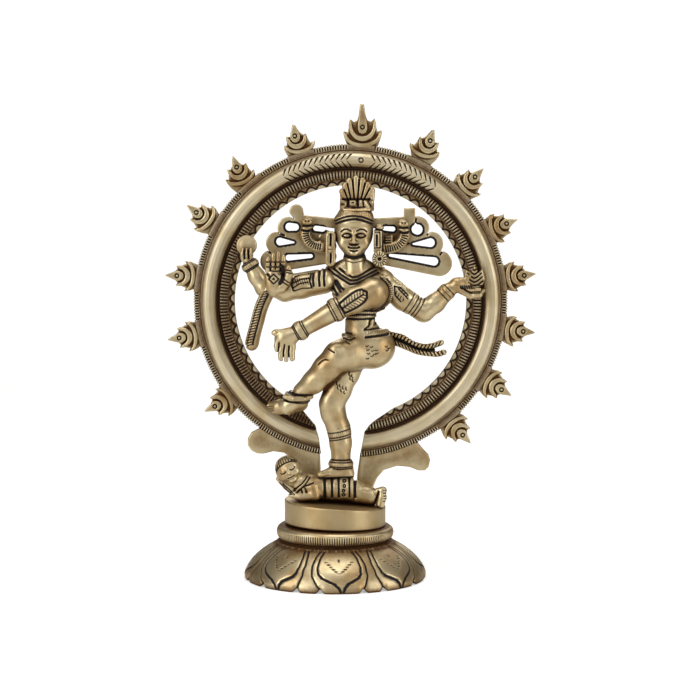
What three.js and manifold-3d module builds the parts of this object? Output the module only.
// A brass Nataraja: a dancer inside a flaming arch, on a turned drum and a cast lotus base.
// Millimetres, +Z up, the viewer looks along +Y. Shapes are drawn in the stand's own frame,
// with the base's axis at x = 0 and the surface it stands on at z = 0, and the last group
// moves that frame so that the object's bounding box stands centred on the origin.
import * as THREE from 'three';
import { mergeVertices } from 'three/addons/utils/BufferGeometryUtils.js';
import Module from 'manifold-3d';

const wasm = await Module();
wasm.setup();

// ---------- driving dimensions ----------
const gap = 0.3;                 // clearance where cast pieces meet

const lotusRadius = 34;          // lotus base, petal tip to axis
const lotusTop = 14.9;           // height of the lotus base, where the collar sits
const lotusWall = 2.4;           // wall of the hollow casting
const webThickness = 3.4;        // flat web that the bolt clamps
const petalCount = 8;
const petalTurn = 4.9;           // degrees that the front petal is turned to the right
const notchHeight = 1.2;         // how far the rim rises between petals

const collarRadius = 22;
const collarTop = 19.9;
const drumRadius = 19;
const drumBottom = 20.3;
const drumTop = 28.5;
const spigotRadius = 14.7;
const boltRadius = 2.5;
const boltHeadHeight = 3.5;
const washerThickness = 1;

const archLean = 4.2;            // degrees that the arch and the drum's top lean to the viewer's right
const drumSeatLean = 2;          // lean of the drum's underside
const collarLean = 0.9;          // lean of the collar's top, which is filed to meet the drum
const archFootX = 0.3;           // where the arch's centre line meets the drum's top
const ringCentre = 75.3;         // ring centre above the drum's top, along the arch's centre line
const ringInner = 43.6;
const ringOuter = 58.9;
const ringFront = 3;             // nearest and farthest faces of the ring, along y
const ringBack = 9;
const footFront = 5.6;
const footBack = 8.8;
const flameReach = 66;           // radius of each flame's punched eye
const flameThickness = 2.8;

// ---------- materials ----------
const brass = (color, roughness) => new THREE.MeshStandardMaterial({ color, roughness, metalness: 1 });
const castBrass = brass(0xb59f6f, 0.38);
const polishedBrass = brass(0xcdbd8c, 0.3);
const turnedBrass = brass(0xb09a68, 0.32);
const steel = new THREE.MeshStandardMaterial({ color: 0x8f9094, roughness: 0.45, metalness: 1 });

// ---------- solids ----------
function toSolid(geometry) {
  const bare = geometry.clone();
  bare.deleteAttribute('normal');
  bare.deleteAttribute('uv');
  const merged = mergeVertices(bare, 1e-4);
  const corners = merged.index.array;
  const kept = [];
  for (let i = 0; i < corners.length; i += 3) {
    const [a, b, c] = [corners[i], corners[i + 1], corners[i + 2]];
    if (a !== b && b !== c && c !== a) kept.push(a, b, c);
  }
  return new wasm.Manifold(new wasm.Mesh({
    numProp: 3,
    vertProperties: new Float32Array(merged.attributes.position.array),
    triVerts: new Uint32Array(kept),
  }));
}

function toGeometry(solid) {
  const mesh = solid.getMesh();
  const geometry = new THREE.BufferGeometry();
  geometry.setAttribute('position', new THREE.BufferAttribute(mesh.vertProperties, 3));
  geometry.setIndex(new THREE.BufferAttribute(mesh.triVerts, 1));
  geometry.computeVertexNormals();
  return geometry;
}

// The largest body left by a cut, without the slivers beside it.
function mainBody(solid) {
  const bodies = solid.decompose();
  return bodies.reduce((largest, next) => (next.volume() > largest.volume() ? next : largest));
}

const join = (solids) => solids.reduce((whole, next) => whole.add(next));
const cut = (solid, tools) => mainBody(tools.reduce((rest, tool) => rest.subtract(tool), solid));

// A limb with round ends, from a to b; each end is [x, y, z, radius].
function limb(a, b, grow = 0) {
  const start = new THREE.Vector3(a[0], a[1], a[2]);
  const end = new THREE.Vector3(b[0], b[1], b[2]);
  const along = end.clone().sub(start);
  const length = along.length();
  const rings = 2;
  const profile = [];
  for (let i = 0; i <= rings; i += 1) {
    const turn = (i / rings - 1) * Math.PI / 2;
    profile.push(new THREE.Vector2((a[3] + grow) * Math.cos(turn), (a[3] + grow) * Math.sin(turn)));
  }
  for (let i = 0; i <= rings; i += 1) {
    const turn = (i / rings) * Math.PI / 2;
    profile.push(new THREE.Vector2((b[3] + grow) * Math.cos(turn), length + (b[3] + grow) * Math.sin(turn)));
  }
  profile[0].x = 0;
  profile.at(-1).x = 0;
  const geometry = new THREE.LatheGeometry(profile, 8);
  geometry.applyQuaternion(new THREE.Quaternion().setFromUnitVectors(new THREE.Vector3(0, 1, 0), along.normalize()));
  geometry.translate(a[0], a[1], a[2]);
  return toSolid(geometry);
}

// Limbs run through a list of [x, y, z, radius] joints.
function chain(joints, grow = 0) {
  return join(joints.slice(1).map((joint, i) => limb(joints[i], joint, grow)));
}

function ball([x, y, z], [rx, ry, rz], grow = 0) {
  const geometry = new THREE.SphereGeometry(1, 12, 7);
  geometry.rotateX(Math.PI / 2);
  geometry.scale(rx + grow, ry + grow, rz + grow);
  geometry.translate(x, y, z);
  return toSolid(geometry);
}

// A ring of metal round a limb: a short drum whose axis runs from a to b.
function band(a, b, radius, grow = 0) {
  const start = new THREE.Vector3(...a);
  const along = new THREE.Vector3(...b).sub(start);
  const geometry = new THREE.CylinderGeometry(radius + grow, radius + grow, along.length() + 2 * grow, 10);
  const middle = start.addScaledVector(along, 0.5);
  geometry.applyQuaternion(new THREE.Quaternion().setFromUnitVectors(new THREE.Vector3(0, 1, 0), along.normalize()));
  geometry.translate(middle.x, middle.y, middle.z);
  return toSolid(geometry);
}

// A flat plate drawn in the x-z plane, from y = front to y = back.
function plate(shape, front, back, curveSegments = 8) {
  const geometry = new THREE.ExtrudeGeometry(shape, { depth: back - front, bevelEnabled: false, curveSegments });
  geometry.rotateX(Math.PI / 2);
  geometry.translate(0, back, 0);
  return geometry;
}

const vectors = (points) => points.map(([x, z]) => new THREE.Vector2(x, z));

// A turned piece: its profile is [radius, height], closed on itself or on the axis.
function turned(profile, segments) {
  const geometry = new THREE.LatheGeometry(vectors(profile), segments);
  geometry.rotateX(Math.PI / 2);
  return geometry;
}

// A round bar along a smooth curve through points [x, y, z].
function bar(points, radius) {
  const path = new THREE.CatmullRomCurve3(points.map((point) => new THREE.Vector3(...point)));
  const section = new THREE.Shape();
  section.absarc(0, 0, radius, 0, 2 * Math.PI);
  const geometry = new THREE.ExtrudeGeometry(section, { extrudePath: path, steps: 8, curveSegments: 4 });
  return toSolid(geometry);
}

const stand = new THREE.Group();
const arch = new THREE.Group();
arch.position.set(archFootX, 0, drumTop);
arch.rotation.y = THREE.MathUtils.degToRad(archLean);
stand.add(arch);

function place(group, name, material, geometry) {
  const mesh = new THREE.Mesh(geometry, material);
  mesh.name = name;
  group.add(mesh);
}

// ---------- stand ----------
// Tilts a turned piece's upper parts: lean(z) is the lean in degrees at each height.
function tilt(geometry, lean) {
  const position = geometry.attributes.position;
  for (let i = 0; i < position.count; i += 1) {
    const slope = Math.tan(THREE.MathUtils.degToRad(lean(position.getZ(i))));
    position.setZ(i, position.getZ(i) - position.getX(i) * slope);
  }
  return geometry;
}

// The lotus base: a hollow casting whose rim lifts in small notches between its petals.
function lotusBase() {
  const stepsPerPetal = 6;
  const steps = stepsPerPetal * petalCount;
  const web = lotusTop - webThickness;
  const profile = [
    [boltRadius + gap, lotusTop],
    [boltRadius + gap, web],
    [19, web],
    [26, 7.8],
    [30, 4],
    [lotusRadius - lotusWall, 0],
    [lotusRadius - 0.4, 0],
    [lotusRadius, 0.9],
    [32.7, 4.4],
    [28.5, 9.4],
    [23, 12.9],
    [20.5, lotusTop],
    [boltRadius + gap, lotusTop],
  ];
  const geometry = turned(profile, steps);
  geometry.rotateZ(THREE.MathUtils.degToRad(petalTurn));
  const position = geometry.attributes.position;
  const stepsToNotch = 2;
  for (let i = 0; i < position.count; i += 1) {
    const angle = Math.atan2(position.getY(i), position.getX(i)) - THREE.MathUtils.degToRad(petalTurn);
    const step = Math.round(angle / (2 * Math.PI) * steps);
    const half = stepsPerPetal / 2;
    const fromPetal = Math.abs(((step % stepsPerPetal) + stepsPerPetal + half) % stepsPerPetal - half);
    const onRim = position.getZ(i) < 1 && Math.hypot(position.getX(i), position.getY(i)) > 20;
    if (onRim && fromPetal === stepsToNotch) position.setZ(i, position.getZ(i) + notchHeight);
  }
  return geometry;
}

const collarProfile = [
  [spigotRadius + gap, collarTop],
  [spigotRadius + gap, lotusTop],
  [20.3, lotusTop],
  [21.5, 15.5],
  [collarRadius, 17],
  [collarRadius, 18],
  [21.3, 19.4],
  [20.2, collarTop],
  [spigotRadius + gap, collarTop],
];

const collar = tilt(turned(collarProfile, 48), (z) => (z > 19 ? collarLean : 0));

const archSlotDepth = 3.2;
const tenonHalfWidth = 2.6;
const tenonCentre = 10;
const tenonLength = 2.8;

function plinthDrum() {
  const threadTop = 24;
  const edge = 0.3;
  const profile = [
    [0, drumTop],
    [0, threadTop],
    [boltRadius + gap, threadTop],
    [boltRadius + gap, lotusTop],
    [spigotRadius, lotusTop],
    [spigotRadius, drumBottom],
    [drumRadius - edge, drumBottom],
    [drumRadius, drumBottom + edge],
    [drumRadius, drumTop - edge],
    [drumRadius - edge, drumTop],
    [0, drumTop],
  ];
  const slots = [-1, 1].map((side) => {
    const slack = 2 * gap;
    const box = new THREE.BoxGeometry(
      2 * (tenonHalfWidth + slack),
      footBack - footFront + slack,
      2 * archSlotDepth,
    );
    box.translate(side * tenonCentre, (footFront + footBack) / 2, 0);
    box.rotateY(arch.rotation.y);
    box.translate(archFootX, 0, drumTop);
    return toSolid(box);
  });
  const leanAt = (z) => (z > (drumBottom + drumTop) / 2 ? archLean : drumSeatLean);
  const drum = tilt(turned(profile, 48), (z) => (z <= collarTop || z === threadTop ? 0 : leanAt(z)));
  return toGeometry(cut(toSolid(drum), slots));
}

function fixingBolt() {
  const headTop = lotusTop - webThickness - washerThickness;
  const acrossCorners = 9.2;
  const tip = 22.8;
  const head = new THREE.CylinderGeometry(acrossCorners / 2, acrossCorners / 2, boltHeadHeight, 6);
  head.rotateX(Math.PI / 2);
  head.translate(0, 0, headTop - boltHeadHeight / 2);
  const shank = new THREE.CylinderGeometry(boltRadius, boltRadius, tip - headTop + 1, 16);
  shank.rotateX(Math.PI / 2);
  shank.translate(0, 0, (tip + headTop - 1) / 2);
  return toGeometry(join([toSolid(head), toSolid(shank)]));
}

const washerProfile = [
  [boltRadius + gap, lotusTop - webThickness],
  [boltRadius + gap, lotusTop - webThickness - washerThickness],
  [6, lotusTop - webThickness - washerThickness],
  [6, lotusTop - webThickness],
  [boltRadius + gap, lotusTop - webThickness],
];

place(stand, 'lotus_base', castBrass, lotusBase());
place(stand, 'base_collar', castBrass, collar);
place(stand, 'plinth_drum', turnedBrass, plinthDrum());
place(stand, 'fixing_bolt', steel, fixingBolt());
place(stand, 'fixing_washer', steel, turned(washerProfile, 24));

// ---------- arch, drawn upright with the drum's top at z = 0 ----------
// Section of the ring as [radius, y]: a flat back, and on the front from inside to outside the
// scalloped band, the reeded bead, the smooth half-round and the rim.
const ringSection = [
  [ringInner, ringBack],
  [ringInner, 6.2],
  [45.7, 5.6],
  [46.4, 4.6],
  [49.2, 4.6],
  [50.2, 5.2],
  [50.9, 4],
  [52, ringFront + 0.2],
  [53.1, ringFront],
  [54.5, 3.6],
  [55.4, 4.9],
  [57.6, 5.2],
  [ringOuter, footFront],
  [ringOuter, ringBack - 0.4],
  [57.8, ringBack],
  [ringInner, ringBack],
];

// The doorway between the arch's feet, which also cuts the ring open: [x, z] up each side.
const doorLeft = [[-6.1, -1], [-6.6, 10.4], [-8, 22.2], [-9.9, 27.5], [-14.9, 32.6], [-19, 35.5]];
const doorRight = [[7.3, -1], [7.4, 10.7], [8.1, 19.8], [8.7, 26], [11, 29.8], [19, 35.5]];

function doorway() {
  const shape = new THREE.Shape();
  shape.moveTo(...doorLeft[0]);
  shape.splineThru(vectors(doorLeft.slice(1)));
  shape.lineTo(...doorRight.at(-1));
  shape.splineThru(vectors(doorRight.slice(0, -1).reverse()));
  return toSolid(plate(shape, 0, ringBack + 5, 3));
}

function disc(radius, front, back, segments) {
  const geometry = new THREE.CylinderGeometry(radius, radius, back - front, segments);
  geometry.translate(0, (front + back) / 2, ringCentre);
  return toSolid(geometry);
}

const ringClear = disc(ringOuter + gap, 0, ringBack + 5, 72);

function archRing() {
  const geometry = new THREE.LatheGeometry(vectors(ringSection), 64);
  geometry.translate(0, 0, ringCentre);
  return toGeometry(cut(toSolid(geometry), [doorway()]));
}

// The feet stand square on the drum's leaning top, with the usual clearance.
const seat = gap;

// A foot of the arch: a plate with a round lobe, a curved flank and a tenon in the drum.
function archFoot(side, door, flank, lobe) {
  const near = side * (tenonCentre - tenonHalfWidth);
  const far = side * (tenonCentre + tenonHalfWidth);
  const shape = new THREE.Shape();
  shape.moveTo(door[1][0], door[1][1]);
  shape.lineTo(door[0][0], seat);
  shape.lineTo(near, seat);
  shape.lineTo(near, -tenonLength);
  shape.lineTo(far, -tenonLength);
  shape.lineTo(far, seat);
  shape.lineTo(flank[0][0], seat);
  shape.splineThru(vectors(flank));
  shape.splineThru(vectors(lobe));
  shape.lineTo(side * 22, 30);
  shape.lineTo(door[3][0], door[3][1]);
  shape.lineTo(door[2][0], door[2][1]);
  return toGeometry(cut(toSolid(plate(shape, footFront, footBack, 3)), [ringClear]));
}

const leftFlank = [[-13.6, 5], [-14.8, 9.5], [-17.4, 13.8], [-21, 16], [-25, 16.4]];
const leftLobe = [[-28.6, 15.2], [-32.5, 15.7], [-35.1, 18.9], [-34.2, 22.2], [-31.2, 24.5], [-28, 27]];
const rightFlank = [[13.8, 5.6], [15, 9.2], [17.3, 12.4], [22.3, 14.4], [26.9, 14.2]];
const rightLobe = [[30.3, 13.3], [33, 13.4], [34.6, 16], [34, 19], [32.1, 20.8], [28, 25]];

place(arch, 'arch_ring', polishedBrass, archRing());
place(arch, 'arch_foot_left', castBrass, archFoot(-1, doorLeft, leftFlank, leftLobe));
place(arch, 'arch_foot_right', castBrass, archFoot(1, doorRight, rightFlank, rightLobe));

// Each flame is set by hand, so it has its own place round the ring and its own direction.
// Degrees clockwise from the top of the arch, as the viewer sees it.
const flames = [
  { name: 'flame_top', at: -0.3, points: -5.4, tall: true },
  { name: 'flame_left_1', at: -22.9, points: -14.2 },
  { name: 'flame_left_2', at: -44.4, points: -24.2 },
  { name: 'flame_left_3', at: -63.9, points: -56.2 },
  { name: 'flame_left_4', at: -85.4, points: -92.2 },
  { name: 'flame_left_5', at: -106.2, points: -103.2 },
  { name: 'flame_left_6', at: -131.8, points: -120.2 },
  { name: 'flame_right_1', at: 22.1, points: 13.8 },
  { name: 'flame_right_2', at: 40.7, points: 40.8 },
  { name: 'flame_right_3', at: 59.2, points: 64.3 },
  { name: 'flame_right_4', at: 77.2, points: 77.8 },
  { name: 'flame_right_5', at: 95.6, points: 92.4 },
  { name: 'flame_right_6', at: 116.1, points: 116.8 },
  { name: 'flame_right_7', at: 135.8, points: 131.8 },
];

// Half of a flame's outline, from its tip down to the rim, with the punched eye at 0, 0:
// a tongue between two crescents.
const flameHalf = [[0, 4.5], [0.8, 2.2], [1.6, 0.2], [2.3, -1], [3.8, 1.3], [4.3, -0.8], [4.3, -3.4],
  [5.9, -2.2], [6.2, -4.4], [5.1, -6.6], [3.4, -9]];
const tallHalf = [[0.4, 8.6], [1.2, 3.6], [1.7, 0.2], [2.6, -0.6], [4.3, 3.5], [5, -0.2], [5.2, -2.6],
  [7, -1.2], [7.1, -3.8], [5.8, -6.6], [4, -9]];

function flame({ at, points, tall }) {
  const half = tall ? tallHalf : flameHalf;
  const mirrored = half.map(([x, z]) => [-x, z]).reverse();
  const outline = half[0][0] === 0 ? mirrored.slice(0, -1).concat(half) : mirrored.concat(half);
  const geometry = plate(new THREE.Shape(vectors(outline)), footFront, footFront + flameThickness);
  const angle = THREE.MathUtils.degToRad(at);
  geometry.rotateY(THREE.MathUtils.degToRad(points));
  geometry.translate(flameReach * Math.sin(angle), 0, ringCentre + flameReach * Math.cos(angle));
  return toGeometry(cut(toSolid(geometry), [ringClear]));
}

flames.forEach((one) => place(arch, one.name, castBrass, flame(one)));

// ---------- dancer: joints are [x, y, z, radius] ----------
const standingHip = [8.5, -3.5, 85.5, 6.4];
const raisedHip = [12, -4.5, 86.8, 6.4];
const raisedKnee = [1.6, -9.5, 83, 6.6];
const head = { centre: [7, -4, 129.8], radii: [6.7, 6.3, 8.4] };

function body(grow = 0) {
  return join([
    ball(head.centre, head.radii, grow),
    chain([[7.1, -3.8, 124, 3.7], [7.6, -3.5, 115.5, 4.2]], grow),
    chain([[-2.2, -4, 112.6, 4.4], [8, -4.2, 111.8, 5], [17.6, -3.8, 112, 4.4]], grow),
    chain([[9.4, -4.4, 109, 7], [9.8, -4, 101.5, 5.6], [9.6, -3.6, 95, 5.1], [10.4, -3.4, 89.5, 6.6]], grow),
    chain([[10.4, -3.4, 89.5, 6.6], [15, -3, 87.4, 7.4]], grow),
    chain([raisedHip, raisedKnee, [-6.4, -8, 77.2, 5.2], [-13.8, -5.6, 70.2, 3.1]], grow),
    chain([[-13.8, -5.6, 70.2, 3.1], [-12, -4.6, 66.2, 2.8], [-22.2, -0.6, 64.3, 1.9]], grow),
    chain([standingHip, [4.6, -3.6, 76, 6], [0.9, -4.4, 69.6, 5.3], [-0.6, -3.4, 62, 4.1]], grow),
    chain([[-0.6, -3.4, 62, 4.1], [2, -2.9, 53.5, 4], [2.2, -2.8, 43.5, 3.6]], grow),
    chain([[3.4, -3, 41.3, 3], [-5.2, -5.6, 39.9, 1.5]], grow),
    band([1.6, -2.9, 52.2], [1.5, -3, 55.8], 4.5, grow),
    band([2.2, -2.8, 41.8], [2.2, -2.8, 44.8], 4.4, grow),
    band([-13, -5.8, 70.8], [-14.9, -5.3, 69], 4.3, grow),
  ]);
}

// The arms overlap one another from front to back, so each is cut by those before it.
function frontRightArm(grow = 0) {
  return join([
    chain([[-5, -7.5, 111.8, 4.9], [-13, -9, 110.2, 4.5], [-20.4, -10, 108.2, 3.3]], grow),
    chain([[-20.4, -10, 108.2, 3.3], [-22.8, -13, 109.6, 2.8]], grow),
    ball([-22.2, -13.6, 114], [3.6, 2, 4.8], grow),
    ball([-21.5, -13.6, 119.4], [2.9, 1.5, 4], grow),
    chain([[-19.4, -13.4, 110.8, 1.8], [-17.4, -13.6, 115, 1.3]], grow),
  ]);
}

function frontLeftArm(grow = 0) {
  return join([
    chain([[15.6, -9.6, 109.6, 4.9], [7.4, -12, 105.4, 4.6], [0.8, -12.4, 101.9, 3.6]], grow),
    chain([[0.8, -12.4, 101.9, 3.6], [-11.4, -12.2, 94.5, 2.9], [-16.6, -12, 91.6, 2.3]], grow),
    band([2, -12.4, 102.6], [-0.6, -12.4, 101.2], 4.3, grow),
    band([-11, -12.2, 94.8], [-13.6, -12.2, 93.1], 3.9, grow),
    ball([-18.2, -12, 91], [5, 2, 3.6], grow),
    chain([[-20.6, -12, 92.4, 1.5], [-23, -12.2, 93.2, 0.9]], grow),
    chain([[-20.4, -12, 89.5, 2.2], [-21, -12, 84.4, 1.5]], grow),
    chain([[-16, -12, 89, 2.4], [-16, -12, 83.2, 1.7]], grow),
  ]);
}

function rearRightArm(grow = 0) {
  return join([
    chain([[-6.6, -2.4, 112.2, 3.8], [-17, -2.8, 110.4, 3.6], [-26.4, -3, 108.9, 3.1]], grow),
    chain([[-26.4, -3, 108.9, 3.1], [-31.8, -2.6, 118.2, 2.5]], grow),
    band([-31.1, -2.6, 117], [-32.4, -2.6, 119.2], 3, grow),
    ball([-32.8, -3.4, 121], [1.9, 1.5, 2.6], grow),
  ]);
}

function rearLeftArm(grow = 0) {
  return join([
    chain([[19.4, -3.2, 110.6, 4.4], [26, -2.8, 104.8, 4.2], [33.4, -2.4, 100, 3.6]], grow),
    chain([[33.4, -2.4, 100, 3.6], [41.6, -2, 107.9, 2.9]], grow),
    band([27.8, -2.7, 103.8], [30, -2.6, 102.4], 4.4, grow),
    band([40.4, -2, 106.8], [42.2, -2, 108.5], 3.5, grow),
    chain([[43.4, -2, 109, 2.6], [47.6, -1.8, 109, 2.9], [53, -0.6, 107.6, 1.5]], grow),
  ]);
}

const dancer = body();
const dancerClear = body(gap);
const rightArm = cut(frontRightArm(), [dancerClear]);
const leftArm = cut(frontLeftArm(), [dancerClear]);
const frontArmsClear = [frontRightArm(gap), frontLeftArm(gap)];
const rearRight = cut(rearRightArm(), [dancerClear, ...frontArmsClear]);
const rearLeft = cut(rearLeftArm(), [dancerClear, ...frontArmsClear]);
const figureClear = [dancerClear, ...frontArmsClear, rearRightArm(gap), rearLeftArm(gap)];

place(stand, 'dancer_body', castBrass, toGeometry(dancer));
place(stand, 'front_right_arm', castBrass, toGeometry(rightArm));
place(stand, 'front_left_arm', castBrass, toGeometry(leftArm));
place(stand, 'rear_right_arm', castBrass, toGeometry(rearRight));
place(stand, 'rear_left_arm', castBrass, toGeometry(rearLeft));

// ---------- what the dancer wears and holds ----------
// A crown of seven upright leaves that fan from the knot of hair, [x, z] of each tip.
function crown() {
  const root = 138.6;
  const tips = [[2.1, 145.8], [3.1, 148.3], [5.1, 150.1], [7.5, 150.9], [10.6, 150.1], [13, 148.3], [14.2, 145.8]];
  const shape = new THREE.Shape();
  shape.moveTo(14.4, root);
  shape.lineTo(14.8, 142);
  tips.toReversed().forEach(([x, z], i) => {
    shape.lineTo(x, z);
    const next = tips[tips.length - 2 - i];
    if (next) shape.lineTo((x + next[0]) / 2, Math.min(z, next[1]) - 0.6);
  });
  shape.lineTo(1.4, 142);
  shape.lineTo(1.8, root);
  const fan = toSolid(plate(shape, -6, -1.6));
  const knot = ball([8, -4, 140.6], [6.6, 5.2, 2.6]);
  return toGeometry(cut(join([fan, knot]), [dancerClear]));
}

// A long ear loop, a flat ring of metal that hangs to the shoulder.
function earLoop() {
  const shape = new THREE.Shape();
  shape.absarc(-1.6, 129, 1.9, 0, Math.PI);
  shape.absarc(-1.6, 119.3, 1.9, Math.PI, 2 * Math.PI);
  const slot = new THREE.Path();
  slot.absarc(-1.6, 128.6, 0.6, 0, Math.PI);
  slot.absarc(-1.6, 125.6, 0.6, Math.PI, 2 * Math.PI);
  shape.holes.push(slot);
  return toGeometry(cut(toSolid(plate(shape, -6, -4, 5)), figureClear));
}

function earRosette() {
  const rosette = new THREE.CylinderGeometry(2.9, 2.9, 1.8, 16);
  rosette.translate(16.6, -6.4, 120.2);
  const link = new THREE.Shape(vectors([[14.6, 120], [18.2, 120], [18.2, 130.8], [14.6, 130.8]]));
  return toGeometry(cut(join([toSolid(rosette), toSolid(plate(link, -6, -4))]), figureClear));
}

place(stand, 'crown', castBrass, crown());
place(stand, 'ear_loop', castBrass, earLoop());
place(stand, 'ear_rosette', castBrass, earRosette());

// Flying hair: three flat looped locks on each side and a bar that ends in a knob.
// A lock runs from its root at the head to a round end, [x, z, radius], round a slot.
function lockShape(root, end) {
  const along = new THREE.Vector2(end[0] - root[0], end[1] - root[1]);
  const heading = along.angle();
  const spread = Math.acos((end[2] - root[2]) / along.length());
  const shape = new THREE.Shape();
  shape.absarc(end[0], end[1], end[2], heading - Math.PI + spread, heading + Math.PI - spread);
  shape.absarc(root[0], root[1], root[2], heading + Math.PI - spread, heading + Math.PI + spread);
  return shape;
}

const hairFront = 0.6;
const hairBack = 2.6;
const leftLocks = [
  { root: [-2, 127.5, 2.6], end: [-17.4, 131.3, 4], slot: [[-14.9, 131.4, 1.1], [-17.2, 131.6, 1.3]] },
  { root: [-2, 124.5, 2.6], end: [-21.4, 125.8, 4.1], slot: [[-16.6, 126, 0.9], [-20.2, 126.3, 1.5]] },
  { root: [-2, 120.6, 2.6], end: [-23.4, 118.9, 4.3], slot: [[-9, 120.8, 0.7], [-17.2, 120.3, 0.9]] },
];
const rightLocks = [
  { root: [17, 127.5, 2.6], end: [30.9, 131.6, 4.2], slot: [[29.4, 130.6, 1.6], [30.9, 130.5, 1.8]] },
  { root: [17, 124.5, 2.6], end: [36.1, 125.8, 4.3], slot: [[31, 126.2, 0.9], [36, 125.8, 1.7]] },
  { root: [17, 120.2, 2.6], end: [38.9, 118, 4.8], slot: [[24.6, 119.8, 0.9], [37.2, 119, 2]] },
];

function hairFan(locks, barRoot, barEnd, knob) {
  const flat = (shape) => toSolid(plate(shape, hairFront, hairBack, 6));
  const through = (shape) => toSolid(plate(shape, hairFront - 1, hairBack + 1, 4));
  const solid = join([
    ...locks.map(({ root, end }) => flat(lockShape(root, end))),
    flat(lockShape(barEnd, barRoot)),
    flat(lockShape(knob[0], knob[1])),
  ]);
  const slots = locks.map(({ slot }) => through(lockShape(slot[0], slot[1])));
  return toGeometry(cut(solid, [...slots, ...figureClear]));
}

place(stand, 'hair_fan_left', castBrass,
  hairFan(leftLocks, [0, 132.9, 1.5], [-12.6, 135, 1.3], [[-13.9, 135.6, 2.1], [-14.4, 137.5, 2.3]]));
place(stand, 'hair_fan_right', castBrass,
  hairFan(rightLocks, [14, 132.9, 1.5], [26.4, 134.4, 1.3], [[27.2, 135.2, 2.1], [27.8, 136.9, 2.2]]));

// A serpent curls down each side of the head, in front of the hair.
function serpent(points) {
  const hood = ball(points[0], [2.4, 1.9, 2.2]);
  return toGeometry(cut(join([bar(points, 1.7), hood]), [dancerClear]));
}

place(stand, 'serpent_left', castBrass,
  serpent([[-10.3, -1.8, 133.6], [-12.2, -1.8, 130], [-11, -1.8, 126.4], [-7.4, -1.8, 124.3], [-3.6, -1.8, 124.6]]));
place(stand, 'serpent_right', castBrass,
  serpent([[25.3, -1.8, 132.4], [26.2, -1.8, 129], [24.6, -1.8, 125.8], [21.4, -1.8, 124], [17.6, -1.8, 124.4]]));

// The small drum in the rear right hand, seen from its round face.
function handDrum() {
  const geometry = new THREE.CylinderGeometry(1, 1, 4.4, 20);
  geometry.scale(3.8, 1, 4.3);
  geometry.translate(-33, 0.2, 124.6);
  return toGeometry(cut(toSolid(geometry), [rearRightArm(gap)]));
}

function heldFlame() {
  const outline = [[49, 110.6], [54.6, 110.6], [55.4, 113], [54.4, 116.4], [53.2, 114.6], [51.8, 116.9],
    [50.4, 114.8], [48.6, 116], [48.3, 113]];
  const geometry = plate(new THREE.Shape(vectors(outline)), -2.4, 1.6);
  return toGeometry(cut(toSolid(geometry), [rearLeftArm(gap)]));
}

function armScarf() {
  const cloth = chain([[-26, -5.2, 106, 2], [-29, -5, 97, 2.3], [-30.7, -4.6, 90, 2.5]]);
  return toGeometry(cut(cloth, [rearRightArm(gap), frontRightArm(gap)]));
}

// The ends of the waist sash fly out to the side in two strands.
function waistSash() {
  const upper = bar([[19.6, -3, 91], [26.3, -2.4, 90.3], [31, -2.2, 88.2], [39.3, -2.2, 89.2]], 1.5);
  const lower = bar([[20.4, -3, 89.8], [27.6, -2.4, 88.4], [32.4, -2.2, 85.8], [40.6, -2.2, 85.8]], 1.5);
  return toGeometry(cut(join([upper, lower]), [dancerClear]));
}

place(stand, 'hand_drum', castBrass, handDrum());
place(stand, 'held_flame', castBrass, heldFlame());
place(stand, 'arm_scarf', castBrass, armScarf());
place(stand, 'waist_sash', castBrass, waistSash());

// ---------- the dwarf under the standing foot ----------
function dwarf() {
  const form = join([
    ball([-17.6, -6, 41.9], [4.5, 4.4, 4.9]),
    chain([[-15.6, -5.4, 38.6, 3], [-11.4, -4.4, 35.2, 4.2], [2, -3.6, 34, 4.4]]),
    chain([[2, -4.2, 33.6, 4.2], [10.4, -4.8, 31.8, 3.1], [15.6, -5, 30.6, 2.4]]),
    chain([[16.6, -5.2, 29.6, 2], [17.6, -5.4, 32.8, 1.6]]),
    chain([[-10.6, -8, 35.4, 2.2], [-8.6, -9.6, 32, 1.8], [-14.4, -9.4, 31.6, 1.9]]),
  ]);
  const ground = new THREE.BoxGeometry(80, 80, 20);
  ground.translate(0, 0, gap - 10);
  ground.rotateY(arch.rotation.y);
  ground.translate(archFootX, 0, drumTop);
  return toGeometry(cut(form, [toSolid(ground), dancerClear]));
}

place(stand, 'dwarf', castBrass, dwarf());

// ---------- the object's own frame ----------
const box = new THREE.Box3().setFromObject(stand);
stand.position.set(-(box.min.x + box.max.x) / 2, -(box.min.y + box.max.y) / 2, -box.min.z);

const nataraja = new THREE.Group();
nataraja.add(stand);

export default nataraja;
